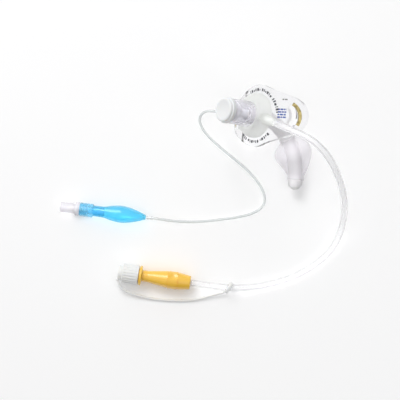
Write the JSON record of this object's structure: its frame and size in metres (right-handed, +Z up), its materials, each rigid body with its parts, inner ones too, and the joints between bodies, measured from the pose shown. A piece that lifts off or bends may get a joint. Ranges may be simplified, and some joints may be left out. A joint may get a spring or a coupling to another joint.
{
  "type": "cuffed tracheostomy tube with suction line",
  "caption": "Clear cuffed tracheostomy tube with neck flange and obturator, a pilot balloon on a thin line, and a capped orange suction connector on a wider line.",
  "frame": {"origin": "on the resting surface, under the middle of the tube, hub and flange", "axes": "+Z up, +X from the pilot balloon towards the cuff, +Y from the lines towards the crown side of the flange"},
  "size_m": [0.1819, 0.1341, 0.0564],
  "materials": {
    "clear_pvc": "clear soft PVC, moulded and extruded",
    "clear_rigid": "clear rigid plastic, polished",
    "milky_film": "thin milky film",
    "grey_handle": "off-white polypropylene, satin",
    "line_pvc": "clear extruded tubing",
    "orange_plastic": "yellow to orange moulding, slightly see-through",
    "white_plastic": "white moulding, satin",
    "blue_plastic": "blue moulding",
    "blue_film": "blue film",
    "black_rubber": "soft seal",
    "spring_steel": "stainless wire"
  },
  "bodies": {
    "tube": {"neck_flange": "clear_pvc", "hub_boss": "clear_pvc", "connector_15mm": "clear_rigid", "outer_cannula": "clear_pvc", "obturator": "grey_handle", "cuff": "milky_film", "suction_line_gland": "clear_pvc", "inflation_line_gland": "clear_pvc", "suction_line": "line_pvc", "suction_connector": "orange_plastic", "cap_tether": "white_plastic", "tether_ring": "white_plastic", "inflation_line": "line_pvc", "balloon_neck": "clear_pvc", "pilot_balloon": "blue_film", "valve_body": "blue_plastic", "luer_inlet": "clear_rigid", "valve_spring": "spring_steel"},
    "plunger": {"valve_plunger": "white_plastic", "valve_seal": "black_rubber"},
    "cap": {"suction_cap": "white_plastic"}
  },
  "joints": [
    {"name": "valve_plunger_slide", "type": "slide", "parent": "tube", "child": "plunger", "axis": [0.9916, -0.1253, 0.0313], "range_m": [0, 0.0012], "stiffness_N_per_m": 200, "deforming": ["valve_spring"]},
    {"name": "suction_cap_slide", "type": "slide", "parent": "tube", "child": "cap", "axis": [-0.9893, 0.1461, 0], "range_m": [0, 0.009], "deforming": ["cap_tether"]}
  ]
}
